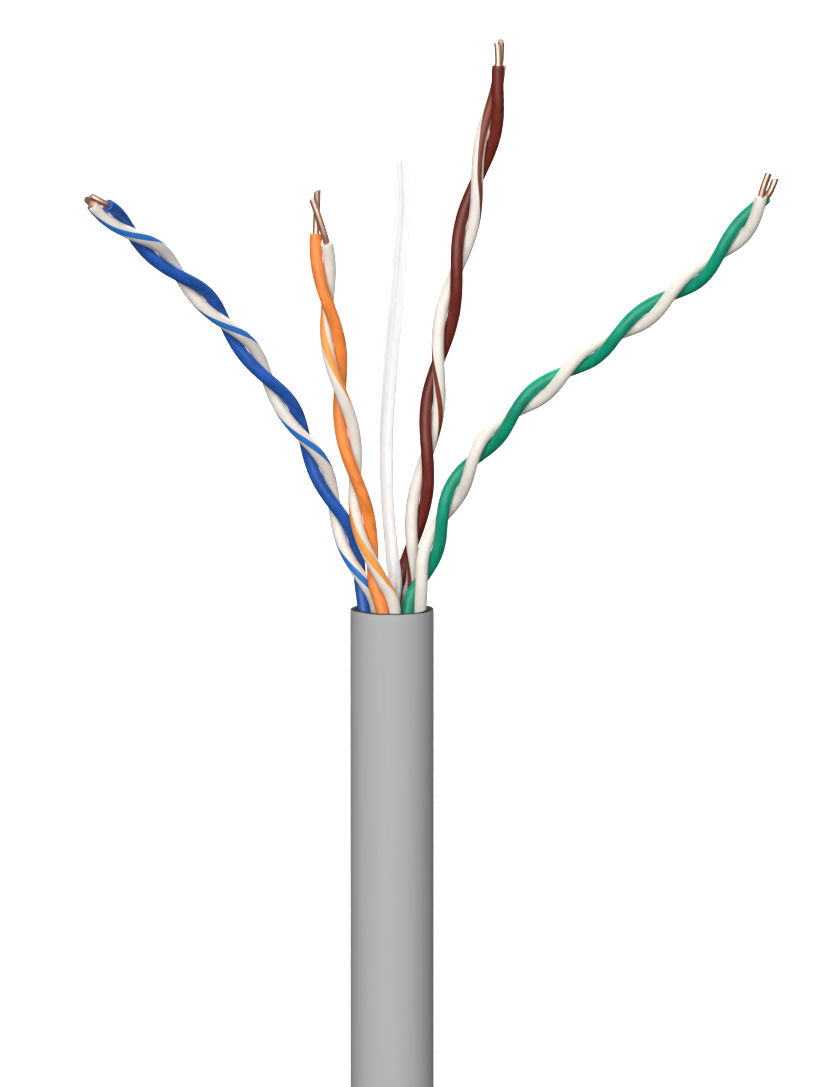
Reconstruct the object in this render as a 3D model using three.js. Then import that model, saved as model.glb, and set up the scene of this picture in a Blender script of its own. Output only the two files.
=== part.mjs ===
// The stripped end of a round four-pair network cable, with its twisted pairs fanned out at the mouth of
// the jacket and a cross-shaped separator between them. Millimetres, +Z up. The origin is on the jacket's
// axis, in the plane of the lower cut face. Height above the jacket's mouth is called rise.
import * as THREE from "three";
import { mergeVertices } from "three/addons/utils/BufferGeometryUtils.js";

// Driving dimensions, with bearings and turns in degrees
const JACKET_LENGTH = 36;
const JACKET_WALL = 0.5;
const RIM_CHAMFER = 0.08; // on the jacket's outer edges
const CORE_DIAMETER = 0.5;
const INSULATION_WALL = 0.2;
const CORE_CLEARANCE = 0.02; // between a core and its sleeve
const STRAND_CLEARANCE = 0.015; // between the two strands of a pair
const PAIR_CLEARANCE = 0.14; // between neighbouring pairs inside the jacket
const BORE_CLEARANCE = 0.04; // between a pair and the jacket
const SEPARATOR_SPAN = 1.2; // across the cross, fin tip to fin tip
const SEPARATOR_FIN = 0.26; // thickness of a fin
const SEPARATOR_CLEARANCE = 0.02; // between a fin and the pairs on either side of it
const SEPARATOR_BEARING = 37; // of one fin inside the jacket, midway between two pairs
const SEPARATOR_TWIST = 40; // turned by the cross from the mouth to its tip
const BEND_RISE = 1; // height of each pair's bending point above the mouth
const BEND_GAP = 0.5; // opening left at the bending point, so that the pair can turn

// Facets
const JACKET_SIDES = 40;
const STRAND_SIDES = 6;
const STEPS_PER_TURN = 8;
const SEPARATOR_STEPS = 18;
const BARE_STEPS = 3;

// The four pairs. bearing is where a pair lies round the jacket's axis, lay is the length of one full twist
// and front is the distance along the pair, from the mouth, at which the coloured strand lies in front.
// route is the pair's centre line outside the jacket: x and y from the pair's place inside the jacket, and
// the rise. trim is how far along the pair each sleeve is cut, and tip is where each bare core ends, the
// coloured strand first. settles is where a pair's twist starts to die out and how far it takes to do so.
const PAIRS = [
  {
    name: "blue",
    color: 0x1f56ad,
    bearing: 172,
    lay: 11.02,
    front: 8.05,
    route: [
      [-0.1, -0.05, 0], [-0.73, 0, 2.1], [-1.66, -0.05, 4.85], [-2.74, -0.4, 7.8],
      [-4.75, -1.5, 12.5], [-7.47, -3.1, 17.15], [-10.48, -5.1, 21.4], [-13.71, -7.5, 25.15],
      [-16.86, -10.2, 28.3], [-19.8, -13.2, 31.15],
    ],
    trim: [39.1, 39.7],
    tip: [[-19.9, -12.9, 31.35], [-20.05, -13.4, 31.05]],
  },
  {
    name: "orange",
    color: 0xf07d32,
    bearing: 262,
    lay: 12.78,
    front: 10.2,
    route: [
      [-0.08, 0, 0.2], [-0.8, -0.05, 2.25], [-1.73, -0.25, 5.9], [-2.44, -0.5, 10.05], [-3.45, -0.9, 15.9],
      [-4.38, -1.4, 22.55], [-4.88, -1.7, 27.1], [-5.3, -2, 30.75],
    ],
    trim: [27.95, 27.3],
    tip: [[-5.1, -1.5, 30.6], [-5.5, -2.15, 30.05]],
  },
  {
    name: "green",
    color: 0x0d8762,
    bearing: 352,
    lay: 9.69,
    front: 7,
    route: [
      [0.09, -0.1, 0], [0.66, -0.25, 2.1], [2.17, -1, 6.75], [4.32, -2, 10.95], [7.33, -3.1, 14.6],
      [10.77, -4.2, 17.5], [14.5, -5.4, 20.4], [18.29, -6.6, 23.4], [21.66, -7.8, 26.4], [24.3, -8.8, 29.75],
      [25.6, -9.4, 32.35],
    ],
    trim: [41.55, 41.7],
    tip: [[25.75, -8.55, 32.15], [25.25, -9.55, 32.6]],
  },
  {
    name: "brown",
    color: 0x5e1f1a,
    bearing: 78,
    lay: 13.36,
    front: 11.07,
    settles: [36.6, 3],
    route: [
      [0.25, 0, -0.2], [0.84, 0.1, 2.55], [1.41, 0.25, 6.15], [2.2, 0.45, 10.8], [2.99, 0.75, 17.45],
      [4.28, 1.05, 23.9], [5.78, 1.35, 30.55], [6.93, 1.45, 35.3], [7.36, 1.55, 38.85], [7.36, 1.55, 40.7],
    ],
    trim: [39.55, 39.55],
    tip: [[7.22, 1.15, 40.5], [7.5, 1.95, 40.65]],
  },
];
const STRAIGHT_PITCH = 3; // spacing of the points of the straight stretch inside the jacket

// The separator's centre line outside the jacket, as x, y, rise.
const SEPARATOR_ROUTE = [
  [0, 0, 0], [0.22, -0.15, 1.8], [0, -0.25, 4], [-0.33, -0.35, 8], [-0.4, -0.4, 12.5],
  [-0.15, -0.4, 17], [0.15, -0.4, 20.5], [0.45, -0.4, 24.5], [0.75, -0.4, 28.5], [0.62, -0.4, 32.6],
];

// Sizes that follow from them
const coreRadius = CORE_DIAMETER / 2;
const boreRadius = coreRadius + CORE_CLEARANCE;
const strandRadius = coreRadius + INSULATION_WALL;
// A strand's chords cut inside its helix, so the helix is widened by the cosine of half a step.
const twistRadius = strandRadius / Math.cos(Math.PI / STEPS_PER_TURN) + STRAND_CLEARANCE;
const pairRadius = twistRadius + strandRadius;
const ringRadius = Math.max(ringForPairs(), ringForFins());
const jacketBore = (ringRadius + pairRadius + BORE_CLEARANCE) / Math.cos(Math.PI / JACKET_SIDES);
const jacketRadius = jacketBore + JACKET_WALL;

// The smallest ring on which each pair stays clear of its neighbours.
function ringForPairs() {
  const bearings = PAIRS.map((pair) => pair.bearing).sort((a, b) => a - b);
  const gaps = bearings.map((bearing, i) => (bearings[i + 1] ?? bearings[0] + 360) - bearing);
  const closest = THREE.MathUtils.degToRad(Math.min(...gaps));
  return (pairRadius + PAIR_CLEARANCE / 2) / Math.sin(closest / 2);
}

// The smallest ring on which each pair stays clear of the tips of the fins beside it.
function ringForFins() {
  const apart = PAIRS.map((pair) => THREE.MathUtils.euclideanModulo(pair.bearing - SEPARATOR_BEARING, 90));
  const closest = THREE.MathUtils.degToRad(Math.min(...apart.map((angle) => Math.min(angle, 90 - angle))));
  const [out, half] = [SEPARATOR_SPAN / 2, SEPARATOR_FIN / 2];
  const reach = pairRadius + SEPARATOR_CLEARANCE;
  const toward = out * Math.cos(closest) + half * Math.sin(closest);
  return toward + Math.sqrt(toward ** 2 - out ** 2 - half ** 2 + reach ** 2);
}

const UP = new THREE.Vector3(0, 0, 1);
const BACK = new THREE.Vector3(0, 1, 0);

function material(color, roughness, metalness = 0) {
  return new THREE.MeshStandardMaterial({ color, roughness, metalness });
}
const jacketMaterial = material(0xa9a9ab, 0.5);
const separatorMaterial = material(0xf2f3f4, 0.35);
const whiteMaterial = material(0xe3ded3, 0.4);
const copperMaterial = material(0xdc9678, 0.25, 1);

// A sweep's path, given as the exact places and directions of its steps.
class Stations extends THREE.Curve {
  constructor(places, directions) {
    super();
    this.places = places;
    this.directions = directions;
  }
  pick(list, u) {
    const at = u * (list.length - 1);
    const low = Math.min(Math.floor(at), list.length - 2);
    return list[low].clone().lerp(list[low + 1], at - low);
  }
  getPoint(t) {
    return this.pick(this.places, t);
  }
  getPointAt(u) {
    return this.getPoint(u);
  }
  getTangentAt(u) {
    return this.pick(this.directions, u).normalize();
  }
}

function sweep(section, places, directions) {
  const steps = places.length - 1;
  const extrudePath = new Stations(places, directions);
  const geometry = new THREE.ExtrudeGeometry(section, { steps, extrudePath, bevelEnabled: false });
  geometry.deleteAttribute("normal");
  geometry.deleteAttribute("uv");
  const whole = mergeVertices(geometry, 1e-4);
  whole.computeVertexNormals();
  return whole;
}

// A polygon of equal sides about the origin, counter-clockwise.
function polygon(radius, sides) {
  return Array.from({ length: sides }, (_, i) => {
    const angle = (2 * Math.PI * i) / sides;
    return new THREE.Vector2(radius * Math.cos(angle), radius * Math.sin(angle));
  });
}

const coreSection = new THREE.Shape(polygon(coreRadius, STRAND_SIDES));
const sleeveSection = new THREE.Shape(polygon(strandRadius, STRAND_SIDES));
sleeveSection.holes.push(new THREE.Path(polygon(boreRadius, STRAND_SIDES).reverse()));

// A point given from a pair's foot and the mouth's height.
function besideFoot(foot, [x, y, rise]) {
  return new THREE.Vector3(foot.x + x, foot.y + y, JACKET_LENGTH + rise);
}

// The centre line of a pair or of the separator: straight up inside the jacket from its foot, then along the
// route. Distances along it are counted from the mouth.
class CentreLine {
  constructor(foot, route) {
    const straightTop = JACKET_LENGTH - STRAIGHT_PITCH;
    const count = Math.round(straightTop / STRAIGHT_PITCH);
    const points = [];
    for (let i = 0; i <= count; i++) {
      points.push(foot.clone().setZ((straightTop * i) / count));
    }
    route.forEach((point) => points.push(besideFoot(foot, point)));
    this.curve = new THREE.CatmullRomCurve3(points, false, "catmullrom", 0.5);
    this.curve.arcLengthDivisions = 1000;
    this.length = this.curve.getLength();
    this.start = -this.distanceTo(JACKET_LENGTH);
    this.end = this.length + this.start;
  }
  // Length of the line from its foot up to height z, by halving; the line always climbs.
  distanceTo(z) {
    let [low, high] = [0, 1];
    for (let i = 0; i < 40; i++) {
      const middle = (low + high) / 2;
      if (this.curve.getPointAt(middle).z < z) low = middle;
      else high = middle;
    }
    return low * this.length;
  }
  at(distance) {
    return this.curve.getPointAt(THREE.MathUtils.clamp((distance - this.start) / this.length, 0, 1));
  }
  direction(distance) {
    return this.curve.getTangentAt(THREE.MathUtils.clamp((distance - this.start) / this.length, 0, 1));
  }
}

// How far the twist has run at a distance along the pair: it dies out over the pair's last stretch, if told to.
function twistRun(pair, distance) {
  if (!pair.settles) return distance;
  const [start, fade] = pair.settles;
  const past = THREE.MathUtils.clamp((distance - start) / fade, 0, 1);
  return Math.min(distance, start) + fade * (past - past ** 2 / 2);
}

// The centre of one strand. The pairs are twisted left-handed: in front, a strand climbs from right to left.
function strandPlace(pair, side, distance) {
  const along = pair.line.direction(distance);
  const back = BACK.clone().addScaledVector(along, -BACK.dot(along)).normalize();
  const right = back.clone().cross(along);
  const angle = (2 * Math.PI * (twistRun(pair, distance) - pair.front)) / pair.lay;
  return pair.line
    .at(distance)
    .addScaledVector(back, -side * twistRadius * Math.cos(angle))
    .addScaledVector(right, -side * twistRadius * Math.sin(angle));
}

function strandDirection(pair, side, distance) {
  const reach = 0.05;
  return strandPlace(pair, side, distance + reach)
    .sub(strandPlace(pair, side, distance - reach))
    .normalize();
}

// The steps of a strand from one distance to another, evenly spaced.
function strandStations(pair, side, from, to) {
  const steps = Math.ceil(((to - from) * STEPS_PER_TURN) / pair.lay);
  const places = [];
  const directions = [];
  for (let i = 0; i <= steps; i++) {
    const distance = from + ((to - from) * i) / steps;
    places.push(strandPlace(pair, side, distance));
    directions.push(strandDirection(pair, side, distance));
  }
  return { places, directions };
}

// A core's steps: those of its sleeve and then its bare end, which leaves the sleeve straight and curves to
// its tip.
function withBareEnd(sleeve, tip) {
  const root = sleeve.places.at(-1);
  const bend = root.clone().addScaledVector(sleeve.directions.at(-1), root.distanceTo(tip) / 3);
  const end = new THREE.QuadraticBezierCurve3(root, bend, tip);
  const core = { places: [...sleeve.places], directions: [...sleeve.directions] };
  for (let i = 1; i <= BARE_STEPS; i++) {
    core.places.push(end.getPoint(i / BARE_STEPS));
    core.directions.push(end.getTangent(i / BARE_STEPS));
  }
  return core;
}

function addMesh(group, name, geometry, finish) {
  const mesh = new THREE.Mesh(geometry, finish);
  mesh.name = name;
  group.add(mesh);
}

// Adds an insulation sleeve and the core in it, which may run on past the sleeve's end.
function addSleeveAndCore(group, name, suffix, finish, sleeve, core) {
  const sleeveGeometry = sweep(sleeveSection, sleeve.places, sleeve.directions);
  const coreGeometry = sweep(coreSection, core.places, core.directions);
  addMesh(group, name + "_insulation" + suffix, sleeveGeometry, finish);
  addMesh(group, name + "_core" + suffix, coreGeometry, copperMaterial);
}

// One strand: its stretch in the jacket goes to the cable and its free stretch to the pair's own group.
function addStrand(cable, bend, pair, side, name, finish) {
  const index = side > 0 ? 0 : 1;
  const jacketTop = pair.bendDistance - BEND_GAP / 2;
  const inside = strandStations(pair, side, pair.line.start, jacketTop);
  inside.directions[0].copy(UP); // the lower end is cut square with the jacket
  addSleeveAndCore(cable, name, "_in_jacket", finish, inside, inside);

  const sleeve = strandStations(pair, side, pair.bendDistance + BEND_GAP / 2, pair.trim[index]);
  sleeve.places.forEach((place) => place.sub(bend.position));
  const bareEnd = besideFoot(pair.foot, pair.tip[index]).sub(bend.position);
  addSleeveAndCore(bend, name, "", finish, sleeve, withBareEnd(sleeve, bareEnd));
}

function addPair(cable, pair) {
  const bearing = THREE.MathUtils.degToRad(pair.bearing);
  pair.foot = new THREE.Vector3(ringRadius * Math.cos(bearing), ringRadius * Math.sin(bearing), 0);
  pair.line = new CentreLine(pair.foot, pair.route);
  pair.bendDistance = pair.line.distanceTo(JACKET_LENGTH + BEND_RISE) + pair.line.start;
  const bend = new THREE.Group();
  bend.position.copy(pair.line.at(pair.bendDistance));
  cable.add(bend);
  addStrand(cable, bend, pair, 1, pair.name, material(pair.color, 0.35));
  addStrand(cable, bend, pair, -1, "white_" + pair.name, whiteMaterial);
}

// The jacket: a ring of straight wall with its outer edges broken.
function jacketGeometry() {
  const outline = [
    [jacketBore, 0],
    [jacketRadius - RIM_CHAMFER, 0],
    [jacketRadius, RIM_CHAMFER],
    [jacketRadius, JACKET_LENGTH - RIM_CHAMFER],
    [jacketRadius - RIM_CHAMFER, JACKET_LENGTH],
    [jacketBore, JACKET_LENGTH],
    [jacketBore, 0],
  ].map(([radius, height]) => new THREE.Vector2(radius, height));
  return new THREE.LatheGeometry(outline, JACKET_SIDES).rotateX(Math.PI / 2);
}

// The separator's cross, with its arms on the axes.
function crossSection() {
  const tip = SEPARATOR_SPAN / 2;
  const half = SEPARATOR_FIN / 2;
  const corner = [[tip, -half], [tip, half], [half, half]];
  const outline = [];
  for (let arm = 0; arm < 4; arm++) {
    const turn = (arm * Math.PI) / 2;
    corner.forEach(([x, y]) => outline.push(new THREE.Vector2(x, y).rotateAround(new THREE.Vector2(), turn)));
  }
  return outline;
}

// The separator, built section by section because its cross turns slowly as it climbs from the mouth.
function separatorGeometry() {
  const line = new CentreLine(new THREE.Vector3(), SEPARATOR_ROUTE);
  const outline = crossSection();
  const vertices = [];
  const faces = [];
  const count = outline.length;
  for (let i = 0; i <= SEPARATOR_STEPS; i++) {
    const distance = line.start + (i / SEPARATOR_STEPS) * line.length;
    const along = line.direction(distance);
    const back = BACK.clone().addScaledVector(along, -BACK.dot(along)).normalize();
    const right = back.clone().cross(along);
    const twist = (SEPARATOR_TWIST * Math.max(distance, 0)) / line.end;
    const turn = THREE.MathUtils.degToRad(SEPARATOR_BEARING + twist);
    outline.forEach((corner) => {
      const { x, y } = corner.clone().rotateAround(new THREE.Vector2(), turn);
      vertices.push(...line.at(distance).addScaledVector(right, x).addScaledVector(back, y).toArray());
    });
    if (i === SEPARATOR_STEPS) break;
    for (let k = 0; k < count; k++) {
      const [a, b] = [i * count + k, i * count + ((k + 1) % count)];
      faces.push(a, b, b + count, a, b + count, a + count);
    }
  }
  const cap = THREE.ShapeUtils.triangulateShape(outline, []);
  const top = SEPARATOR_STEPS * count;
  cap.forEach(([a, b, c]) => faces.push(a, c, b, a + top, b + top, c + top));
  const geometry = new THREE.BufferGeometry();
  geometry.setAttribute("position", new THREE.Float32BufferAttribute(vertices, 3));
  geometry.setIndex(faces);
  geometry.computeVertexNormals();
  return geometry;
}

const cable = new THREE.Group();
addMesh(cable, "jacket", jacketGeometry(), jacketMaterial);
addMesh(cable, "separator", separatorGeometry(), separatorMaterial);
PAIRS.forEach((pair) => addPair(cable, pair));

export default cable;
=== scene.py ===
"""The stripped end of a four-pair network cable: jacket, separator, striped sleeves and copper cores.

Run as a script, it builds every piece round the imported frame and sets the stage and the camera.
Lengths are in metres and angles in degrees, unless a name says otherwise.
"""

import math

import bpy
import numpy as np
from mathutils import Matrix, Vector


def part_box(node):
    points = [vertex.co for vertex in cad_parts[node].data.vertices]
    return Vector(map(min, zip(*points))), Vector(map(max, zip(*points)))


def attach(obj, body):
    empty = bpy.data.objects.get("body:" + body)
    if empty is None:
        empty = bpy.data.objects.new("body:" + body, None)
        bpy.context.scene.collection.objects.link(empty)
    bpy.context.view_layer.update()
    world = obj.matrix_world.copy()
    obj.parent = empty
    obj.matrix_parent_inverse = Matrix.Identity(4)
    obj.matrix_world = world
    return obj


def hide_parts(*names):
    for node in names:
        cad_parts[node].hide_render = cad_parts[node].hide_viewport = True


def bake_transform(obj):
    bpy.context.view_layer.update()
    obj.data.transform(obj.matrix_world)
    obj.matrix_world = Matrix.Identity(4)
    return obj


bl_info = {
    "name": "Stripped Network Cable",
    "version": (1, 0, 0),
    "blender": (4, 5, 0),
    "location": "View3D > Sidebar > Cable",
    "description": "Builds the stripped end of a four-pair cable round its packed frame",
    "category": "Object",
}

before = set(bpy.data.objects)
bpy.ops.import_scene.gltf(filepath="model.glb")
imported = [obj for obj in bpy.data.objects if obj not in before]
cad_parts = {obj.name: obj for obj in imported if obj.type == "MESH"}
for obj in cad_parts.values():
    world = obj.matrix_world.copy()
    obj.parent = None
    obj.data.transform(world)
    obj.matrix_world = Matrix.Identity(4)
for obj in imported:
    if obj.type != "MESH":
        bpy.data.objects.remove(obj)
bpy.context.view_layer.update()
MM = 0.001

JACKET_LOW, JACKET_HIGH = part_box("jacket")
MOUTH = JACKET_HIGH.z
JACKET_RADIUS = JACKET_HIGH.x
JACKET_BORE = min(math.hypot(v.co.x, v.co.y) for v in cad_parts["jacket"].data.vertices)

STRAIGHT_PITCH = 3 * MM  # spacing of a pair's points inside the jacket
HIDDEN_JOIN = 3 * MM  # how far below the mouth a free strand meets the one in the jacket
FOOT_STUB = 0.15 * MM  # straight length at the lower cut, so that the strands end flush with it
RAIL_STEP = 0.16 * MM  # spacing of the points that a strand is drawn through
BARE_STEPS = 13  # along a core's bare end
BEND_LOW, BEND_HIGH = -0.3 * MM, 5.5 * MM  # distances from the mouth; the places on a pair's centre line at these are worked out, but nothing uses them

SLEEVE_SIDES, SLEEVE_SIDES_INSIDE = 36, 24  # round a strand, free and in the jacket
CORE_SIDES, CORE_SIDES_INSIDE = 24, 16
SHEAR_SLOPE = 0.5  # how steeply a core's tip is sheared off
SHEAR_BEARING = 140.0  # which side of it stands highest, the other way round on the white strand
PINCH_LENGTH, PINCH_DEPTH = 0.12 * MM, 0.05  # of a sleeve's cut end, the depth as a share of its girth
LIP_ROUND = 0.03 * MM

JACKET_SIDES = 144
OUTSIDE_RINGS, BORE_RINGS = 60, 40
WAVER_REACH = 0.6 * MM  # how far down from the mouth the cut's waver fades out

# Each pair's place and run. bearing is its place round the jacket's axis. lay is the length of one full
# twist, and front the distance from the mouth at which the coloured strand lies in front, both in mm.
# route is its centre line outside the jacket, in mm: x and y from its place inside the jacket, and the
# height above the mouth. trim is where each sleeve is cut and tip where each bare core ends, the coloured
# strand first. settles is where a pair's twist starts to die out and how far it takes. stripe gives, at
# distances along the pair, the turn of the white strand's stripe away from the pair's axis and the
# stripe's width, both in degrees.
PAIRS = {
    "blue": {
        "bearing": 172,
        "lay": 11.02,
        "front": 8.05,
        "route": [
            (-0.1, -0.05, 0), (-0.73, 0, 2.1), (-1.66, -0.05, 4.85), (-2.74, -0.4, 7.8),
            (-4.75, -1.5, 12.5), (-7.47, -3.1, 17.15), (-10.48, -5.1, 21.4), (-13.71, -7.5, 25.15),
            (-16.86, -10.2, 28.3), (-19.8, -13.2, 31.15),
        ],
        "trim": (39.1, 39.7),
        "tip": [(-19.9, -12.9, 31.35), (-20.05, -13.4, 31.05)],
        "stripe": [(0, 0, 58), (31, 0, 58), (36, 22, 58), (40, 50, 58)],
    },
    "orange": {
        "bearing": 262,
        "lay": 12.78,
        "front": 10.2,
        "route": [
            (-0.08, 0, 0.2), (-0.8, -0.05, 2.25), (-1.73, -0.25, 5.9), (-2.44, -0.5, 10.05),
            (-3.45, -0.9, 15.9), (-4.38, -1.4, 22.55), (-4.88, -1.7, 27.1), (-5.3, -2, 30.75),
        ],
        "trim": (27.95, 27.3),
        "tip": [(-5.1, -1.5, 30.6), (-5.5, -2.15, 30.05)],
        "stripe": [(3.5, 15, 72), (16.3, 68, 72), (27, 100, 72)],
    },
    "green": {
        "bearing": 352,
        "lay": 9.69,
        "front": 7,
        "route": [
            (0.09, -0.1, 0), (0.66, -0.25, 2.1), (2.17, -1, 6.75), (4.32, -2, 10.95), (7.33, -3.1, 14.6),
            (10.77, -4.2, 17.5), (14.5, -5.4, 20.4), (18.29, -6.6, 23.4), (21.66, -7.8, 26.4),
            (24.3, -8.8, 29.75), (25.6, -9.4, 32.35),
        ],
        "trim": (41.55, 41.7),
        "tip": [(25.75, -8.55, 32.15), (25.25, -9.55, 32.6)],
        "stripe": [(0, 180, 0), (40, 180, 0)],
    },
    "brown": {
        "bearing": 78,
        "lay": 13.36,
        "front": 11.07,
        "settles": (36.6, 3),
        "route": [
            (0.25, 0, -0.2), (0.84, 0.1, 2.55), (1.41, 0.25, 6.15), (2.2, 0.45, 10.8), (2.99, 0.75, 17.45),
            (4.28, 1.05, 23.9), (5.78, 1.35, 30.55), (6.93, 1.45, 35.3), (7.36, 1.55, 38.85),
            (7.36, 1.55, 40.7),
        ],
        "trim": (39.55, 39.55),
        "tip": [(7.22, 1.15, 40.5), (7.5, 1.95, 40.65)],
        "stripe": [
            (4.7, -88, 46), (17.9, -65, 50), (28, 0, 46), (31.25, 28, 46), (34, 92, 62),
            (36, 130, 105), (38, 165, 125),
        ],
    },
}

# The separator's centre line outside the jacket, in mm: x, y and the height above the mouth.
SEPARATOR_ROUTE = [
    (0, 0, 0), (0.22, -0.15, 1.8), (0, -0.25, 4), (-0.33, -0.35, 8), (-0.4, -0.4, 12.5),
    (-0.15, -0.4, 17), (0.15, -0.4, 20.5), (0.45, -0.4, 24.5), (0.75, -0.4, 28.5), (0.62, -0.4, 32.6),
]
SEPARATOR_BEARING = 37  # of a fin inside the jacket
SEPARATOR_TWIST = 40  # turned from the mouth to its tip
SEPARATOR_STEP = 0.35 * MM
SEPARATOR_TIP = 0.5 * MM  # length of its rounded tip
SEPARATOR_TIP_SHARE = 0.55  # how wide the tip still is at its very end

# The soft lamps round the mouth: name, bearing, height and size in metres, and the stage's power for it.
LAMPS = [
    ("Front", 0, 20, 0.9, "front_power"),
    ("Left", -35, 20, 0.6, "left_power"),
    ("Right", 60, 15, 0.6, "right_power"),
    ("Back", 180, 25, 0.9, "back_power"),
]
TOP_LAMP = {"place": (0, 0.5, 1.6), "target": (0, 0.3, 0), "size": 0.5}
SENSOR_WIDTH = 36.0
VIEW_CENTRE = (1.505 * MM, 0, 4.684 * MM)  # from the middle of the mouth

# The mottling's pale streaks partly stand in for painted sheen along the strands.
WHITE_MOTTLE_AND_SHEEN, COLOURED_MOTTLE_AND_SHEEN = 0.045, 0.15  # between the darkest and the palest of a sleeve's mottling


def length_property(name, description, millimetres):
    """A length that a user can change, shown in the scene's units."""
    return bpy.props.FloatProperty(
        name=name,
        description=description,
        default=millimetres * MM,
        min=0.0,
        precision=5,
        subtype="DISTANCE",
        unit="LENGTH",
    )


def power_property(name, description, watts):
    """A lamp's power that a user can change."""
    return bpy.props.FloatProperty(
        name=name, description=description, default=watts, min=0, subtype="POWER"
    )


def colour_property(name, description, linear):
    """A linear colour that a user can change."""
    return bpy.props.FloatVectorProperty(
        name=name, description=description, default=linear, size=3, min=0.0, max=1.0, subtype="COLOR"
    )


class CableSizes(bpy.types.PropertyGroup):
    """Sizes of the strands, the separator and the jacket's cut edges."""

    ring_radius: length_property("Ring radius", "Distance of each pair from the jacket's axis", 1.499)
    twist_radius: length_property("Twist radius", "Distance of a strand from its pair's centre line", 0.46)
    strand_radius: length_property("Strand radius", "Outer radius of an insulated strand", 0.45)
    sleeve_wall: length_property("Sleeve wall", "Thickness of the insulation", 0.19)
    core_radius: length_property("Core radius", "Radius of the bare copper", 0.25)
    rim_round: length_property("Rim rounding", "Rounding of the jacket's cut edges", 0.07)
    rim_waver: length_property("Rim waver", "How far the jacket's cut strays from square", 0.03)
    fin_reach: length_property("Fin reach", "From the separator's axis to a fin's tip", 0.6)
    fin_half: length_property("Fin half thickness", "Half the thickness of a separator fin", 0.13)
    waviness: bpy.props.FloatProperty(
        name="Waviness", description="Change of a strand's thickness along it", default=0.018, min=0, max=0.1
    )


class CableColours(bpy.types.PropertyGroup):
    """Linear colours of the plastics and the copper."""

    jacket: colour_property("Jacket", "Grey PVC of the jacket", (0.395, 0.395, 0.40))
    separator: colour_property("Separator", "Milky polyethylene of the separator", (0.90, 0.90, 0.895))
    white: colour_property("White", "Warm white of the white strands", (0.76, 0.71, 0.645))
    blue: colour_property("Blue", "Blue insulation", (0.015, 0.088, 0.38))
    orange: colour_property("Orange", "Orange insulation", (0.84, 0.235, 0.045))
    green: colour_property("Green", "Green insulation", (0.004, 0.27, 0.155))
    brown: colour_property("Brown", "Brown insulation", (0.135, 0.016, 0.009))
    blue_stripe: colour_property("Blue stripe", "Stripe on the white strand", (0.022, 0.17, 0.54))
    orange_stripe: colour_property("Orange stripe", "Stripe on the white strand", (0.84, 0.32, 0.06))
    brown_stripe: colour_property("Brown stripe", "Stripe on the white strand", (0.19, 0.038, 0.018))
    copper: colour_property("Copper", "Bright drawn copper", (0.95, 0.58, 0.43))


class CableStage(bpy.types.PropertyGroup):
    """The camera and the lights."""

    camera_height: bpy.props.FloatProperty(
        name="Camera height",
        description="Angle of the camera above the horizon, in degrees",
        default=8.0,
        min=-90,
        max=90,
    )
    camera_distance: length_property("Camera distance", "From the camera to its target", 1200)
    view_height: length_property("View height", "Height of the view at the target", 77.9)
    front_power: power_property("Front", "Power of the soft light near the camera", 10.5)
    left_power: power_property("Left", "Power of the soft light to the left", 4.4)
    right_power: power_property("Right", "Power of the weak light to the right", 0.9)
    back_power: power_property("Back", "Power of the soft light behind", 7)
    top_power: power_property("Top", "Power of the light over the floor", 31)
    sky_strength: bpy.props.FloatProperty(
        name="Sky", description="Light from all round", default=0.08, min=0
    )


# Paths


def spline_line(points, samples=40):
    """A smooth line through the points: a uniform Catmull-Rom spline, finely divided."""
    points = np.asarray(points, float)
    points = np.vstack([2 * points[0] - points[1], points, 2 * points[-1] - points[-2]])
    t = np.linspace(0, 1, samples, endpoint=False)[:, None]
    pieces = [
        0.5 * (2 * b + (c - a) * t + (2 * a - 5 * b + 4 * c - d) * t**2 + (3 * b - a - 3 * c + d) * t**3)
        for a, b, c, d in zip(points, points[1:], points[2:], points[3:])
    ]
    return np.vstack([*pieces, points[-2:-1]])


def unit(vectors):
    """The vectors at length one."""
    return vectors / np.linalg.norm(vectors, axis=-1, keepdims=True)


class CentreLine:
    """A centre line that rises straight from its foot and then follows a route, measured from the mouth."""

    def __init__(self, foot, route):
        straight_top = MOUTH - STRAIGHT_PITCH
        count = round(straight_top / STRAIGHT_PITCH)
        inside = [(*foot, straight_top * i / count) for i in range(count + 1)]
        outside = [(foot[0] + x * MM, foot[1] + y * MM, MOUTH + rise * MM) for x, y, rise in route]
        self.places = spline_line(inside + outside)
        steps = np.linalg.norm(np.diff(self.places, axis=0), axis=1)
        self.travel = np.concatenate([[0], np.cumsum(steps)])
        self.travel -= np.interp(MOUTH, self.places[:, 2], self.travel)
        self.start, self.end = self.travel[0], self.travel[-1]

    def at(self, distance):
        """Places at those distances."""
        return np.stack([np.interp(distance, self.travel, self.places[:, k]) for k in range(3)], axis=-1)

    def axes(self, distance):
        """Directions along the line, backwards from it and to its right."""
        reach = 0.1 * MM
        along = unit(self.at(distance + reach) - self.at(distance - reach))
        back = np.array([0.0, 1.0, 0.0])
        back = unit(back - along * along[..., 1:2])
        return along, back, np.cross(back, along)


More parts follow.
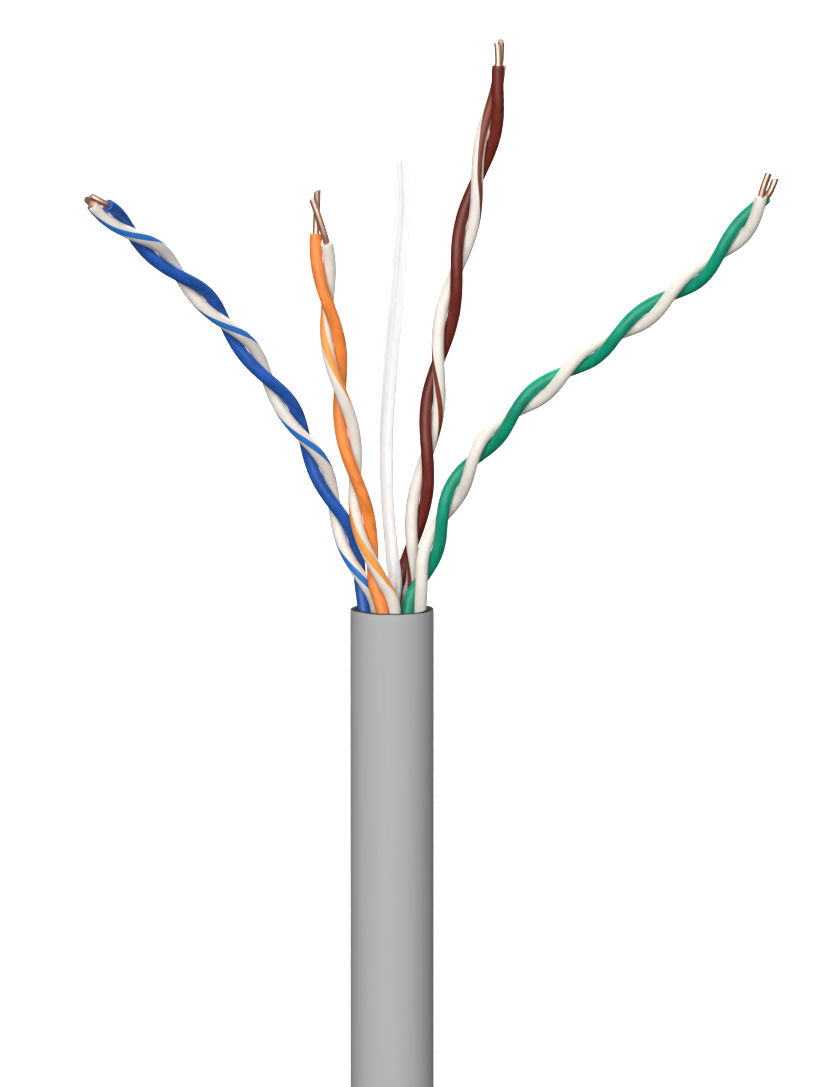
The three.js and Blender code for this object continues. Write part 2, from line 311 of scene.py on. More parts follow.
class Pair:
    """A twisted pair: its centre line and its two strands.

    Side is 1 for the coloured strand and -1 for the white one.
    """

    def __init__(self, name):
        self.name, self.facts = name, PAIRS[name]
        sizes = bpy.context.scene.cable_sizes
        bearing = math.radians(self.facts["bearing"])
        self.foot = (sizes.ring_radius * math.cos(bearing), sizes.ring_radius * math.sin(bearing))
        self.line = CentreLine(self.foot, self.facts["route"])
        self.twist_radius = sizes.twist_radius

    def twist_run(self, distance):
        """How far the twist has run, in mm: it dies out over the pair's last stretch, if told to."""
        start, fade = self.facts.get("settles", (np.inf, 1))
        past = np.clip((distance - start) / fade, 0, 1)
        return np.minimum(distance, start) + fade * (past - past**2 / 2)

    def strand(self, side, distance):
        """Places of a strand's centre and its directions away from the pair's centre line.

        The twist is left-handed: in front, a strand climbs from right to left.
        """
        _, back, right = self.line.axes(distance)
        angle = 2 * math.pi * (self.twist_run(distance / MM) - self.facts["front"]) / self.facts["lay"]
        angle = np.asarray(angle)[..., None]
        outward = -side * (np.cos(angle) * back + np.sin(angle) * right)
        return self.line.at(distance) + self.twist_radius * outward, outward

    def stripe(self, distance):
        """How far the stripe has turned from facing outward and how far it spreads each way, in radians."""
        at, turns, widths = zip(*self.facts["stripe"])
        distance = distance / MM
        return np.radians(np.interp(distance, at, turns)), np.radians(np.interp(distance, at, widths)) / 2


def strand_rail(pair, side, low, high):
    """A strand's rail between two distances: its places, the way its stripe faces, and its distances."""
    count = max(2, round((high - low) / RAIL_STEP))
    distance = np.linspace(low, high, count + 1)
    places, outward = pair.strand(side, distance)
    return places, turned_faces(places, outward, pair.stripe(distance)[0]), distance


def turned_faces(places, outward, turn):
    """Directions square to the rail that start outward and turn about it."""
    along = unit(np.gradient(places, axis=0))
    outward = unit(outward - (outward * along).sum(1, keepdims=True) * along)
    aside = np.cross(along, outward)
    return outward * np.cos(turn)[:, None] + aside * np.sin(turn)[:, None]


def with_foot(places, facing, distance):
    """The rail with a short upright stub below it, down to the lower cut."""
    foot = places[0] * (1, 1, 0)
    upright = unit(facing[:1] * (1, 1, 0))
    return (
        np.vstack([foot, places]),
        np.vstack([upright, facing]),
        np.concatenate([[distance[0] - FOOT_STUB], distance]),
    )


def with_bare_end(rail, tip):
    """The rail with a core's bare end: it leaves the sleeve straight and curves to its tip."""
    places, facing, distance = rail
    root, tip = places[-1], np.asarray(tip)
    reach = np.linalg.norm(tip - root)
    bend = root + unit(places[-1] - places[-2]) * reach / 3
    t = np.linspace(0, 1, BARE_STEPS + 1)[1:, None]
    bare = (1 - t) ** 2 * root + 2 * t * (1 - t) * bend + t**2 * tip
    places = np.vstack([places, bare])
    facing = np.vstack([facing, np.repeat(facing[-1:], len(bare), 0)])
    facing = turned_faces(places, facing, np.zeros(len(places)))
    return places, facing, np.concatenate([distance, distance[-1] + reach * t[:, 0]])


# Meshes


def link(name, mesh):
    """A new object that holds the mesh."""
    made = bpy.data.objects.new(name, mesh)
    bpy.context.scene.collection.objects.link(made)
    return made


def rail_object(name, rail, marks):
    """A line of edges that carries what the sweep needs at each point, and the further numbers in marks."""
    places, facing, distance = rail
    mesh = bpy.data.meshes.new(name)
    mesh.from_pydata(places.tolist(), [(i, i + 1) for i in range(len(places) - 1)], [])
    to_tip = np.linalg.norm(places - places[-1], axis=1)
    mesh.attributes.new("facing", "FLOAT_VECTOR", "POINT").data.foreach_set("vector", facing.ravel())
    for label, values in {"along": distance, "to_tip": to_tip, **marks}.items():
        layer = mesh.attributes.new(label, "FLOAT", "POINT")
        layer.data.foreach_set("value", np.asarray(values, np.float32))
    return link(name, mesh)


def settle(piece, drop=()):
    """Turns the piece's modifiers into plain mesh, without the attributes named."""
    graph = bpy.context.evaluated_depsgraph_get()
    plain = bpy.data.meshes.new_from_object(piece.evaluated_get(graph))
    old = piece.data
    piece.modifiers.clear()
    piece.data = plain
    bpy.data.meshes.remove(old)
    plain.name = piece.name
    for label in drop:
        layer = plain.attributes.get(label)
        if layer:
            plain.attributes.remove(layer)
    return piece


def ring_mesh(name, rings, closed, labels=None):
    """A skin over closed rings of equal count.

    closed joins the last ring to the first. Otherwise each end gets a flat cap. labels are attributes with
    one value for each ring.
    """
    rings = np.asarray(rings, float)
    count, sides = rings.shape[:2]
    faces = []
    for i in range(count if closed else count - 1):
        low, high = i * sides, (i + 1) % count * sides
        faces += [(low + k, low + (k + 1) % sides, high + (k + 1) % sides, high + k) for k in range(sides)]
    if not closed:
        faces += [tuple(reversed(range(sides))), tuple(range((count - 1) * sides, count * sides))]
    mesh = bpy.data.meshes.new(name)
    mesh.from_pydata(rings.reshape(-1, 3).tolist(), [], faces)
    for label, values in (labels or {}).items():
        layer = mesh.attributes.new(label, "FLOAT", "POINT")
        layer.data.foreach_set("value", np.repeat(np.asarray(values, np.float32), sides))
    mesh.shade_smooth()
    return link(name, mesh)


class Wiring:
    """Adds nodes to a tree and joins them. Inputs are given by name or number, as values or as sockets."""

    def __init__(self, tree):
        self.tree = tree

    def add(self, kind, inputs=None, **settings):
        """A new node with those inputs and settings."""
        node = self.tree.nodes.new(kind)
        for name, value in settings.items():
            setattr(node, name, value)
        for key, value in (inputs or {}).items():
            if isinstance(value, bpy.types.NodeSocket):
                self.tree.links.new(value, node.inputs[key])
            else:
                node.inputs[key].default_value = value
        return node

    def maths(self, operation, *values):
        """The result of a maths node."""
        return self.add("ShaderNodeMath", dict(enumerate(values)), operation=operation).outputs[0]

    def attribute(self, label, kind="FLOAT"):
        """A named attribute, in a geometry tree."""
        node = self.add("GeometryNodeInputNamedAttribute", {"Name": label}, data_type=kind)
        return node.outputs["Attribute"]

    def store(self, geometry, label, value, kind="FLOAT"):
        """The geometry with a named attribute stored on its points."""
        inputs = {"Geometry": geometry, "Name": label, "Value": value}
        node = self.add("GeometryNodeStoreNamedAttribute", inputs, data_type=kind, domain="POINT")
        return node.outputs[0]


SWEEP_INPUTS = [
    ("Radius", "NodeSocketFloat"),
    ("Sides", "NodeSocketInt"),
    ("Waviness", "NodeSocketFloat"),
    ("Closed Ends", "NodeSocketBool"),
    ("Cut Slope", "NodeSocketFloat"),
    ("Cut Bearing", "NodeSocketFloat"),
    ("Material", "NodeSocketMaterial"),
]
WAVE_SEED = 7.3
WAVE_PITCH = 420.0  # waves per metre, about one for each 2.4 mm


def sweep_tree():
    """The tree that draws a round strand along a rail.

    It keeps the distance along the strand, the distance to its tip and the side of the strand that each
    point is on, and it can shear the tip off at a slope.
    """
    name = "Drawn strand"
    if name in bpy.data.node_groups:
        return bpy.data.node_groups[name]
    tree = bpy.data.node_groups.new(name, "GeometryNodeTree")
    tree.interface.new_socket("Geometry", in_out="INPUT", socket_type="NodeSocketGeometry")
    for label, kind in SWEEP_INPUTS:
        tree.interface.new_socket(label, in_out="INPUT", socket_type=kind)
    tree.interface.new_socket("Geometry", in_out="OUTPUT", socket_type="NodeSocketGeometry")
    wire = Wiring(tree)
    given = wire.add("NodeGroupInput").outputs

    rail = wire.add("GeometryNodeMeshToCurve", {"Mesh": given["Geometry"]}).outputs[0]
    heading = wire.add("GeometryNodeInputTangent").outputs[0]
    rail = wire.store(rail, "heading", heading, "FLOAT_VECTOR")
    facing = {"Curve": rail, "Normal": wire.attribute("facing", "FLOAT_VECTOR")}
    rail = wire.add("GeometryNodeSetCurveNormal", facing, mode="FREE").outputs[0]

    circle = {"Resolution": given["Sides"], "Radius": given["Radius"]}
    profile = wire.add("GeometryNodeCurvePrimitiveCircle", circle, mode="RADIUS").outputs[0]
    factor = wire.add("GeometryNodeSplineParameter").outputs["Factor"]
    turn = wire.maths("MULTIPLY", factor, 2 * math.pi)
    profile = wire.store(profile, "toward", wire.maths("COSINE", turn))
    profile = wire.store(profile, "aside", wire.maths("SINE", turn))

    wave_at = wire.maths("MULTIPLY_ADD", wire.attribute("along"), WAVE_PITCH, WAVE_SEED)
    waves = {"W": wave_at, "Scale": 1.0, "Detail": 1.0}
    waves = wire.add("ShaderNodeTexNoise", waves, noise_dimensions="1D").outputs[0]
    wave = wire.maths("MULTIPLY", wire.maths("SUBTRACT", waves, 0.5), given["Waviness"])
    girth = wire.maths("MULTIPLY", wire.attribute("girth"), wire.maths("MULTIPLY_ADD", wave, 2.0, 1.0))
    sweep = {"Curve": rail, "Profile Curve": profile, "Scale": girth, "Fill Caps": given["Closed Ends"]}
    skin = wire.add("GeometryNodeCurveToMesh", sweep).outputs[0]

    across = wire.maths(
        "ADD",
        wire.maths("MULTIPLY", wire.attribute("toward"), wire.maths("COSINE", given["Cut Bearing"])),
        wire.maths("MULTIPLY", wire.attribute("aside"), wire.maths("SINE", given["Cut Bearing"])),
    )
    reach = wire.maths("MULTIPLY", given["Radius"], 3.0)
    near = wire.maths("SUBTRACT", 1.0, wire.maths("DIVIDE", wire.attribute("to_tip"), reach))
    near = wire.maths("MAXIMUM", near, 0.0)
    depth = wire.maths("MULTIPLY", wire.maths("MULTIPLY", given["Radius"], given["Cut Slope"]), near)
    shear = wire.maths("MULTIPLY", wire.maths("SUBTRACT", across, 1.0), depth)
    scale = {0: wire.attribute("heading", "FLOAT_VECTOR"), "Scale": shear}
    offset = wire.add("ShaderNodeVectorMath", scale, operation="SCALE").outputs[0]
    skin = wire.add("GeometryNodeSetPosition", {"Geometry": skin, "Offset": offset}).outputs[0]

    corners = wire.add("GeometryNodeInputMeshFaceNeighbors").outputs["Vertex Count"]
    side = wire.add("FunctionNodeCompare", {2: corners, 3: 4}, data_type="INT", operation="LESS_EQUAL")
    smooth = {"Geometry": skin, "Shade Smooth": side.outputs[0]}
    skin = wire.add("GeometryNodeSetShadeSmooth", smooth, domain="FACE").outputs[0]
    skin = wire.add("GeometryNodeRealizeInstances", {"Geometry": skin}).outputs[0]
    skin = wire.add("GeometryNodeSetMaterial", {"Geometry": skin, "Material": given["Material"]}).outputs[0]
    wire.add("NodeGroupOutput", {"Geometry": skin})
    return tree


def swept(name, rail, material, radius, sides, wave=0.0, closed=True, slope=0.0, bearing=0.0, **marks):
    """A round strand drawn along the rail, as plain mesh."""
    marks.setdefault("girth", np.ones(len(rail[0])))
    made = rail_object(name, rail, marks)
    modifier = made.modifiers.new("Drawn strand", "NODES")
    modifier.node_group = sweep_tree()
    values = {
        "Radius": radius,
        "Sides": sides,
        "Waviness": wave,
        "Closed Ends": closed,
        "Cut Slope": slope,
        "Cut Bearing": math.radians(bearing),
        "Material": material,
    }
    for socket in modifier.node_group.interface.items_tree:
        if socket.in_out == "INPUT" and socket.name in values:
            modifier[socket.identifier] = values[socket.name]
    return settle(made, drop=("facing", "heading", "girth"))


# Materials


def new_material(name):
    """An empty node material with its shader: the material, its wiring and the shader."""
    material = bpy.data.materials.new(name)
    material.use_nodes = True
    material.node_tree.nodes.clear()
    wire = Wiring(material.node_tree)
    shader = wire.add("ShaderNodeBsdfPrincipled")
    wire.add("ShaderNodeOutputMaterial", {"Surface": shader.outputs[0]})
    return material, wire, shader


def feed(wire, value, socket):
    """Joins a value to a shader's socket."""
    wire.tree.links.new(value, socket)


def blend_colours(wire, share, low, high):
    """A mix of two colours, each a socket or a linear colour."""
    node = wire.add("ShaderNodeMix", {0: share}, data_type="RGBA")
    for key, colour in ((6, low), (7, high)):
        if isinstance(colour, bpy.types.NodeSocket):
            wire.tree.links.new(colour, node.inputs[key])
        else:
            node.inputs[key].default_value = (*colour, 1.0)
    return node.outputs[2]


def shader_attribute(wire, label):
    """A number carried by the surface."""
    return wire.add("ShaderNodeAttribute", attribute_name=label).outputs["Fac"]


def span(wire, value, low, high, start=0.0, end=1.0):
    """The value carried smoothly from one range to another."""
    inputs = {"Value": value, "From Min": low, "From Max": high, "To Min": start, "To Max": end}
    return wire.add("ShaderNodeMapRange", inputs, interpolation_type="SMOOTHSTEP").outputs[0]


def noise(wire, place, scale, detail=2.0):
    """Noise from 0 to 1."""
    inputs = {"Vector": place, "Scale": scale, "Detail": detail}
    return wire.add("ShaderNodeTexNoise", inputs).outputs[0]


def strand_place(wire, stretch):
    """Coordinates on a strand's skin: round it, and along it shortened by the stretch."""
    radius = 0.45 * MM
    parts = {
        "X": wire.maths("MULTIPLY", shader_attribute(wire, "toward"), radius),
        "Y": wire.maths("MULTIPLY", shader_attribute(wire, "aside"), radius),
        "Z": wire.maths("MULTIPLY", shader_attribute(wire, "along"), stretch),
    }
    return wire.add("ShaderNodeCombineXYZ", parts).outputs[0]


def dimmed(colour, share):
    """The colour, darker or lighter by the share."""
    return tuple(min(1.0, c * share) for c in colour)


def bump(wire, shader, height, distance, strength):
    """Gives the shader a bumpy surface."""
    inputs = {"Height": height, "Distance": distance, "Strength": strength}
    feed(wire, wire.add("ShaderNodeBump", inputs).outputs[0], shader.inputs["Normal"])


def object_place(wire):
    """Coordinates in the object's own space."""
    return wire.add("ShaderNodeTexCoord").outputs["Object"]


def drawn_place(wire, stretch):
    """Coordinates in the object's own space, shortened by the stretch from end to end."""
    inputs = {"Vector": object_place(wire), "Scale": (1.0, 1.0, stretch)}
    return wire.add("ShaderNodeMapping", inputs).outputs[0]


def sleeve_material(name, colour, contrast, stripe):
    """Extruded polyethylene: streaks along the strand, partly real and partly painted sheen, soft mottling,
    and a printed stripe if it has one.
    """
    material, wire, shader = new_material(name)
    mottle = noise(wire, object_place(wire), scale=900.0)
    streak = noise(wire, strand_place(wire, stretch=0.06), scale=5200.0)
    fibre = noise(wire, strand_place(wire, stretch=0.12), scale=10000.0)
    shade = wire.maths("MULTIPLY_ADD", mottle, 0.4, wire.maths("MULTIPLY", streak, 0.25))
    shade = wire.maths("MULTIPLY_ADD", fibre, 0.35, shade)
    # Painted sheen: the pale streaks partly stand in for highlights along the strand; the rest is real
    # mottling and flow lines.
    dark, pale = dimmed(colour, 1 - contrast), dimmed(colour, 1 + contrast)
    body = blend_colours(wire, span(wire, shade, 0.40, 0.60), dark, pale)
    if stripe:
        ragged = wire.maths("MULTIPLY_ADD", streak, 0.10, shader_attribute(wire, "toward"))
        inside = wire.maths("SUBTRACT", ragged, shader_attribute(wire, "stripe_edge"))
        printed = span(wire, inside, 0.03, 0.07)
        body = blend_colours(wire, printed, body, stripe)
    feed(wire, body, shader.inputs["Base Color"])
    feed(wire, span(wire, streak, 0.2, 0.8, 0.30, 0.42), shader.inputs["Roughness"])
    shader.inputs["IOR"].default_value = 1.5
    shader.inputs["Specular IOR Level"].default_value = 0.32
    bump(wire, shader, shade, distance=0.02 * MM, strength=0.8)
    return material


def copper_material(name, colour):
    """Bright drawn copper with fine die lines, and duller, darker sheared ends."""
    material, wire, shader = new_material(name)
    lines = noise(wire, strand_place(wire, stretch=0.02), scale=14000.0, detail=3.0)
    stain = noise(wire, object_place(wire), scale=1300.0, detail=3.0)
    bright = blend_colours(wire, span(wire, stain, 0.35, 0.75), colour, dimmed(colour, 0.72))
    sheared = span(wire, shader_attribute(wire, "to_tip"), 0.0, 0.06 * MM, 1.0, 0.0)
    tone = blend_colours(wire, sheared, bright, dimmed(colour, 0.35))
    feed(wire, tone, shader.inputs["Base Color"])
    shader.inputs["Metallic"].default_value = 1.0
    drawn = span(wire, lines, 0.2, 0.8, 0.32, 0.46)
    rough = wire.maths("ADD", drawn, wire.maths("MULTIPLY", sheared, 0.3))
    feed(wire, rough, shader.inputs["Roughness"])
    bump(wire, shader, lines, distance=0.008 * MM, strength=0.5)
    return material


def jacket_material(name, colour):
    """Satin PVC with a fine grain and faint flow marks, dull on its cut faces and in its bore, which are
    painted dark as painted shade.
    """
    material, wire, shader = new_material(name)
    flow = noise(wire, drawn_place(wire, stretch=0.05), scale=1500.0)
    grain = noise(wire, object_place(wire), scale=9000.0)
    dark, pale = dimmed(colour, 0.985), dimmed(colour, 1.015)
    tone = blend_colours(wire, span(wire, flow, 0.3, 0.7), dark, pale)
    # Painted shade: the cut faces and the bore take a near-black colour that stands in for their shadow; the
    # same mask also makes them dull.
    cut = shader_attribute(wire, "cut")
    feed(wire, blend_colours(wire, cut, tone, dimmed(colour, 0.12)), shader.inputs["Base Color"])
    satin = span(wire, grain, 0.2, 0.8, 0.46, 0.56)
    feed(wire, wire.maths("MULTIPLY_ADD", cut, 0.4, satin), shader.inputs["Roughness"])
    shader.inputs["IOR"].default_value = 1.46
    feed(wire, span(wire, cut, 0.0, 1.0, 0.15, 0.0), shader.inputs["Specular IOR Level"])
    height = wire.maths("ADD", wire.maths("MULTIPLY", flow, 0.6), wire.maths("MULTIPLY", grain, 0.4))
    bump(wire, shader, height, distance=0.008 * MM, strength=0.4)
    return material


def separator_material(name, colour):
    """Milky polyethylene that lets some light through."""
    material, wire, shader = new_material(name)
    streak = noise(wire, drawn_place(wire, stretch=0.08), scale=3000.0)
    tone = blend_colours(wire, span(wire, streak, 0.3, 0.7), dimmed(colour, 0.97), colour)
    feed(wire, tone, shader.inputs["Base Color"])
    feed(wire, span(wire, streak, 0.2, 0.8, 0.48, 0.60), shader.inputs["Roughness"])
    shader.inputs["Transmission Weight"].default_value = 0.35
    shader.inputs["Subsurface Weight"].default_value = 0.6
    shader.inputs["Subsurface Radius"].default_value = (1, 1, 1)
    shader.inputs["Subsurface Scale"].default_value = 1 * MM
    shader.inputs["IOR"].default_value = 1.12
    shader.inputs["Specular IOR Level"].default_value = 0.0
    bump(wire, shader, streak, distance=0.01 * MM, strength=0.4)
    return material


def kept_material(name, make, *facts):
    """The material of that name, made from the facts the first time it is asked for."""
    return bpy.data.materials.get(name) or make(name, *facts)


# Pieces


def jacket_rings(sizes):
    """Radius, height and tone of each ring of the jacket's closed wall.

    They run up the outside, over the mouth, down the bore and back under the foot. The tone is 0 outside,
    and 1 on the cut faces and in the bore, where it brings painted shade and dullness.
    """
    edge, outer, bore = sizes.rim_round, JACKET_RADIUS, JACKET_BORE
    low, high = JACKET_LOW.z + edge, MOUTH - edge
    rings = [(outer, z, 0.0) for z in np.linspace(low, high, OUTSIDE_RINGS)]
    curve = np.linspace(0, math.pi / 2, 5)
    for a in curve[1:]:
        rings.append((outer - edge + edge * math.cos(a), high + edge * math.sin(a), math.sin(a)))
    for a in curve:
        rings.append((bore + edge - edge * math.sin(a), high + edge * math.cos(a), 1.0))
    rings += [(bore, z, 1.0) for z in np.linspace(high, low, BORE_RINGS)[1:]]
    for a in curve[1:]:
        rings.append((bore + edge - edge * math.cos(a), low - edge * math.sin(a), 1.0))
    for a in curve[:-1]:
        rings.append((outer - edge + edge * math.sin(a), low - edge * math.cos(a), math.cos(a)))
    return rings


def build_jacket(sizes, colours):
    """The jacket, with rounded, slightly wavering cut edges."""
    turn = np.linspace(0, 2 * math.pi, JACKET_SIDES, endpoint=False)
    waver = 0.5 * np.sin(2 * turn + 0.6) + 0.3 * np.sin(5 * turn + 2.0) + 0.2 * np.sin(9 * turn + 4.1)
    rings, tones = [], []
    for radius, z, tone in jacket_rings(sizes):
        near = max(0.0, 1 - (MOUTH - z) / WAVER_REACH)
        height = z + sizes.rim_waver * near * (waver - 1)
        rings.append(np.stack([radius * np.cos(turn), radius * np.sin(turn), height], axis=-1))
        tones.append(tone)
    # The cut label marks the cut faces and the bore, which get painted shade and dullness.
    jacket = ring_mesh("grey_jacket", rings, closed=True, labels={"cut": tones})
    jacket.data.materials.append(kept_material("Grey PVC", jacket_material, colours.jacket))
    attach(jacket, "cable")
    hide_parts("jacket")


def fin_outline(sizes):
    """The separator's cross, with rounded fin tips and filleted roots, counter-clockwise."""
    reach, half = sizes.fin_reach, sizes.fin_half
    tip = [(reach - half + half * math.cos(a), half * math.sin(a)) for a in np.linspace(-1.2, 1.2, 7)]
    root = 2 * half
    fillet = [
        (root - half * math.sin(a), root - half * math.cos(a)) for a in np.linspace(0, math.pi / 2, 4)
    ]
    arm = np.array(tip + fillet)
    arms = []
    for a in np.arange(4) * math.pi / 2:
        turn = np.array([[math.cos(a), math.sin(a)], [-math.sin(a), math.cos(a)]])
        arms.append(arm @ turn)
    return np.vstack(arms)


def build_separator(sizes, colours):
    """The cross-shaped separator, turning slowly as it climbs, with a rounded tip."""
    line = CentreLine((0.0, 0.0), SEPARATOR_ROUTE)
    outline = fin_outline(sizes)
    distance = np.concatenate([
        np.arange(line.start, line.end - SEPARATOR_TIP, SEPARATOR_STEP),
        line.end - SEPARATOR_TIP * (1 - np.sin(np.linspace(0, math.pi / 2, 8))),
    ])
    _, back, right = line.axes(distance)
    back[0], right[0] = (0, 1, 0), (1, 0, 0)
    twist = np.radians(SEPARATOR_BEARING + SEPARATOR_TWIST * np.maximum(distance, 0) / line.end)
    to_end = np.clip((line.end - distance) / SEPARATOR_TIP, 0, 1)
    swell = SEPARATOR_TIP_SHARE + (1 - SEPARATOR_TIP_SHARE) * np.sqrt(1 - (1 - to_end) ** 2)
    rings = []
    for i, place in enumerate(line.at(distance)):
        cos, sin = swell[i] * math.cos(twist[i]), swell[i] * math.sin(twist[i])
        x = outline[:, 0] * cos - outline[:, 1] * sin
        y = outline[:, 0] * sin + outline[:, 1] * cos
        rings.append(place + x[:, None] * right[i] + y[:, None] * back[i])
    separator = ring_mesh("cross_separator", rings, closed=False)
    milky = kept_material("Milky polyethylene", separator_material, colours.separator)
    separator.data.materials.append(milky)
    separator.data.set_sharp_from_angle(angle=math.radians(60))
    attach(separator, "cable")
    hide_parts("separator")


def sleeve_girth(distance, trim):
    """A sleeve's thickness along it: pinched in a little where it was cut."""
    return 1 - PINCH_DEPTH * np.clip(1 - (trim - distance) / PINCH_LENGTH, 0, 1) ** 2


def add_wall(sleeve, sizes):
    """Gives a sleeve's skin its thickness and softens its cut lips."""
    wall = sleeve.modifiers.new("Wall", "SOLIDIFY")
    wall.thickness = sizes.sleeve_wall
    wall.offset = -1.0
    wall.use_rim = True
    lips = sleeve.modifiers.new("Lips", "BEVEL")
    lips.width = LIP_ROUND
    lips.segments = 2
    lips.limit_method = "ANGLE"
    lips.angle_limit = math.radians(60)
    settle(sleeve)
    sleeve.data.set_sharp_from_angle(angle=math.radians(50))


def strand_finish(name, pair, side, colours):
    """The sleeve material of a strand."""
    if side > 0:
        facts = getattr(colours, pair.name), COLOURED_MOTTLE_AND_SHEEN, None
    else:
        facts = colours.white, WHITE_MOTTLE_AND_SHEEN, getattr(colours, pair.name + "_stripe", None)
    return kept_material(name + " polyethylene", sleeve_material, *facts)


def build_strand(pair, side):
    """One insulated strand: sleeve and core, in the jacket and free. The free ones bend above the mouth."""
    scene = bpy.context.scene
    sizes, colours = scene.cable_sizes, scene.cable_colours
    name, which = (pair.name, 0) if side > 0 else ("white_" + pair.name, 1)
    finish = strand_finish(name, pair, side, colours)
    copper = kept_material("Drawn copper", copper_material, colours.copper)
    trim = pair.facts["trim"][which] * MM
    inside = with_foot(*strand_rail(pair, side, pair.line.start + FOOT_STUB, -HIDDEN_JOIN))
    free = strand_rail(pair, side, -HIDDEN_JOIN, trim)
    x, y, rise = pair.facts["tip"][which]
    bare = with_bare_end(free, (pair.foot[0] + x * MM, pair.foot[1] + y * MM, MOUTH + rise * MM))

    edge_in, edge = (np.cos(pair.stripe(rail[2])[1]) for rail in (inside, free))
    sleeve_in = swept(
        name + "_sleeve_in_jacket",
        inside,
        finish,
        sizes.strand_radius,
        SLEEVE_SIDES_INSIDE,
        closed=False,
        stripe_edge=edge_in,
    )
    core_in = swept(name + "_wire_in_jacket", inside, copper, sizes.core_radius, CORE_SIDES_INSIDE)
    sleeve = swept(
        name + "_sleeve",
        free,
        finish,
        sizes.strand_radius,
        SLEEVE_SIDES,
        sizes.waviness,
        closed=False,
        girth=sleeve_girth(free[2], trim),
        stripe_edge=edge,
    )
    core = swept(
        name + "_wire",
        bare,
        copper,
        sizes.core_radius,
        CORE_SIDES,
        slope=SHEAR_SLOPE,
        bearing=SHEAR_BEARING * side,
    )
    for piece in (sleeve_in, sleeve):
        add_wall(piece, sizes)
    for piece, node in (
        (sleeve_in, "_insulation_in_jacket"),
        (core_in, "_core_in_jacket"),
        (sleeve, "_insulation"),
        (core, "_core"),
    ):
        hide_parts(name + node)
    for piece in (sleeve_in, core_in):
        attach(piece, "cable")
    bend_start, bend_end = pair.line.at(np.array([BEND_LOW, BEND_HIGH]))
    for piece in (sleeve, core):
        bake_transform(piece)
    tuple(pair.strand(side, np.array([0.0]))[0][0])


# The stage


def aimed(made, place, target):
    """Puts the object at a place, turned to the target."""
    made.location = place
    made.rotation_euler = (Vector(target) - Vector(place)).to_track_quat("-Z", "Y").to_euler()
    bpy.context.scene.collection.objects.link(made)


def area_light(name, place, target, size, power):
    """A soft square lamp."""
    lamp = bpy.data.lights.new(name, "AREA")
    lamp.shape = "SQUARE"
    lamp.size = size
    lamp.energy = power
    aimed(bpy.data.objects.new(name, lamp), place, target)


def round_the_mouth(bearing, height):
    """A place one metre from the mouth: degrees to the right of the camera and above the horizon."""
    bearing, height = math.radians(bearing), math.radians(height)
    level = math.cos(height)
    return (level * math.sin(bearing), -level * math.cos(bearing), MOUTH + math.sin(height))


def build_floor():
    """A plain pale floor just under the cut end."""
    half, drop = 3.0, -0.2 * MM
    mesh = bpy.data.meshes.new("floor")
    corners = [(-half, -half, drop), (half, -half, drop), (half, half, drop), (-half, half, drop)]
    mesh.from_pydata(corners, [], [(0, 1, 2, 3)])
    floor = link("floor", mesh)
    material, wire, shader = new_material("Pale floor")
    mottle = noise(wire, object_place(wire), scale=40.0)
    tone = blend_colours(wire, mottle, (0.93, 0.93, 0.93), (0.95, 0.95, 0.95))
    feed(wire, tone, shader.inputs["Base Color"])
    shader.inputs["Roughness"].default_value = 0.9
    shader.inputs["Specular IOR Level"].default_value = 0.1
    mesh.materials.append(material)
    floor.visible_diffuse = floor.visible_glossy = False


def build_sky(strength):
    """Even white light from all round."""
    world = bpy.data.worlds.new("Studio")
    world.use_nodes = True
    sky = world.node_tree.nodes["Background"]
    sky.inputs["Color"].default_value = (1, 1, 1, 1)
    sky.inputs["Strength"].default_value = strength
    bpy.context.scene.world = world


def build_camera(stage):
    """A long lens, a little above the horizon, framing the fan and most of the jacket."""
    lens = bpy.data.cameras.new("Camera")
    lens.sensor_width = SENSOR_WIDTH
    lens.lens = SENSOR_WIDTH * stage.camera_distance / stage.view_height
    lens.clip_start = 0.01
    lens.clip_end = 100
    camera = bpy.data.objects.new("Camera", lens)
    tilt = math.radians(stage.camera_height)
    target = Vector((0, 0, MOUTH)) + Vector(VIEW_CENTRE)
    aimed(camera, target + stage.camera_distance * Vector((0, -math.cos(tilt), math.sin(tilt))), target)
    bpy.context.scene.camera = camera


# Operators


class CABLE_OT_jacket(bpy.types.Operator):
    """Build the jacket"""

    bl_idname = "cable.jacket"
    bl_label = "Jacket"

    def execute(self, context):
        build_jacket(context.scene.cable_sizes, context.scene.cable_colours)
        return {"FINISHED"}


class CABLE_OT_separator(bpy.types.Operator):
    """Build the separator"""

    bl_idname = "cable.separator"
    bl_label = "Separator"

    def execute(self, context):
        build_separator(context.scene.cable_sizes, context.scene.cable_colours)
        return {"FINISHED"}


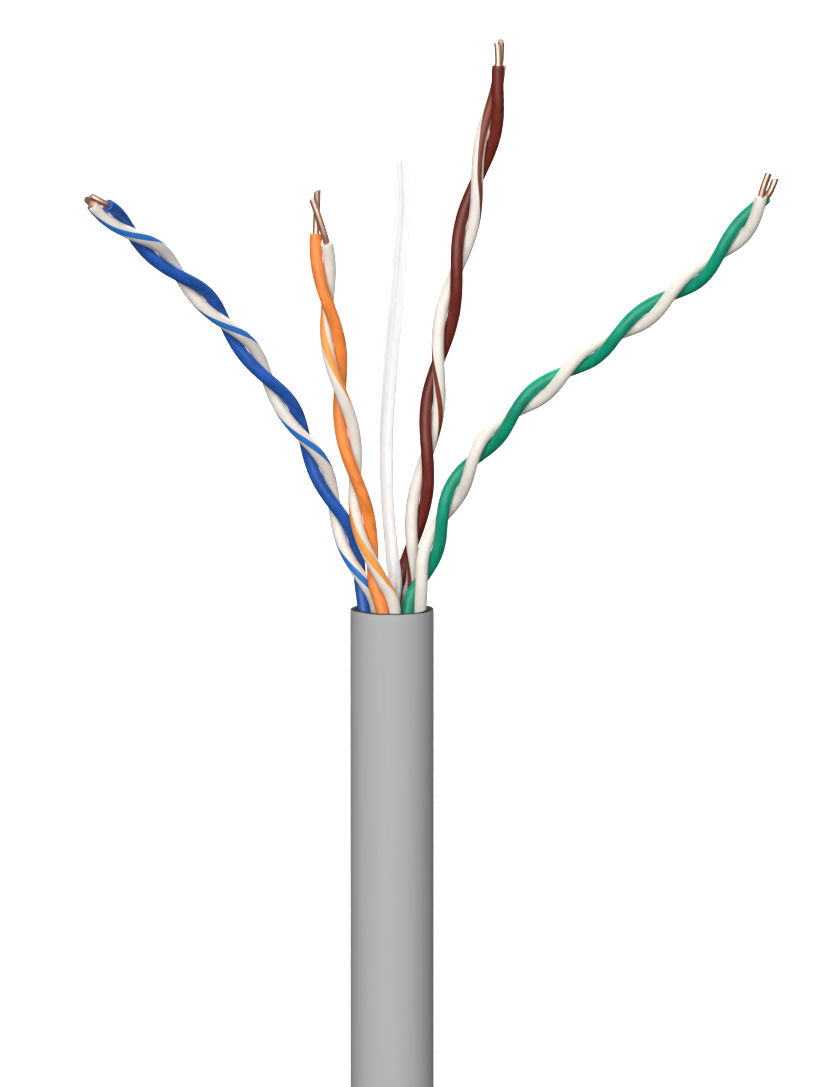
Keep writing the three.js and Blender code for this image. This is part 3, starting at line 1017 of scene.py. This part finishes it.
class CABLE_OT_pair(bpy.types.Operator):
    """Build one twisted pair: its two sleeves and its two cores"""

    bl_idname = "cable.pair"
    bl_label = "Twisted pair"

    pair: bpy.props.EnumProperty(
        name="Pair",
        description="Which pair to build",
        items=[(name, name.title(), "The " + name + " pair") for name in PAIRS],
    )

    def execute(self, context):
        pair = Pair(self.pair)
        for side in (1, -1):
            build_strand(pair, side)
        return {"FINISHED"}


class CABLE_OT_stage(bpy.types.Operator):
    """Set the floor, the lights and the camera"""

    bl_idname = "cable.stage"
    bl_label = "Stage"

    def execute(self, context):
        stage = context.scene.cable_stage
        build_floor()
        build_sky(stage.sky_strength)
        for name, bearing, height, size, power in LAMPS:
            place = round_the_mouth(bearing, height)
            area_light(name, place, (0, 0, MOUTH), size, getattr(stage, power))
        area_light("Top", **TOP_LAMP, power=stage.top_power)
        build_camera(stage)
        context.scene.view_settings.view_transform = "Standard"
        return {"FINISHED"}


class CABLE_PT_panel(bpy.types.Panel):
    """The cable's pieces and sizes"""

    bl_idname = "CABLE_PT_panel"
    bl_label = "Stripped Cable"
    bl_space_type = "VIEW_3D"
    bl_region_type = "UI"
    bl_category = "Cable"

    def draw(self, context):
        layout = self.layout
        for group in (context.scene.cable_sizes, context.scene.cable_colours, context.scene.cable_stage):
            box = layout.box()
            for name in group.__annotations__:
                box.prop(group, name)
        layout.operator("cable.jacket")
        layout.operator("cable.separator")
        layout.operator_menu_enum("cable.pair", "pair")
        layout.operator("cable.stage")


CLASSES = (
    CableSizes,
    CableColours,
    CableStage,
    CABLE_OT_jacket,
    CABLE_OT_separator,
    CABLE_OT_pair,
    CABLE_OT_stage,
    CABLE_PT_panel,
)
GROUPS = {"cable_sizes": CableSizes, "cable_colours": CableColours, "cable_stage": CableStage}


def register():
    for cls in CLASSES:
        bpy.utils.register_class(cls)
    for name, group in GROUPS.items():
        setattr(bpy.types.Scene, name, bpy.props.PointerProperty(type=group))


def unregister():
    for name in GROUPS:
        delattr(bpy.types.Scene, name)
    for cls in reversed(CLASSES):
        bpy.utils.unregister_class(cls)


def main():
    register()
    bpy.ops.cable.stage()
    bpy.ops.cable.jacket()
    bpy.ops.cable.separator()
    for name in PAIRS:
        bpy.ops.cable.pair(pair=name)


if __name__ == "__main__":
    main()
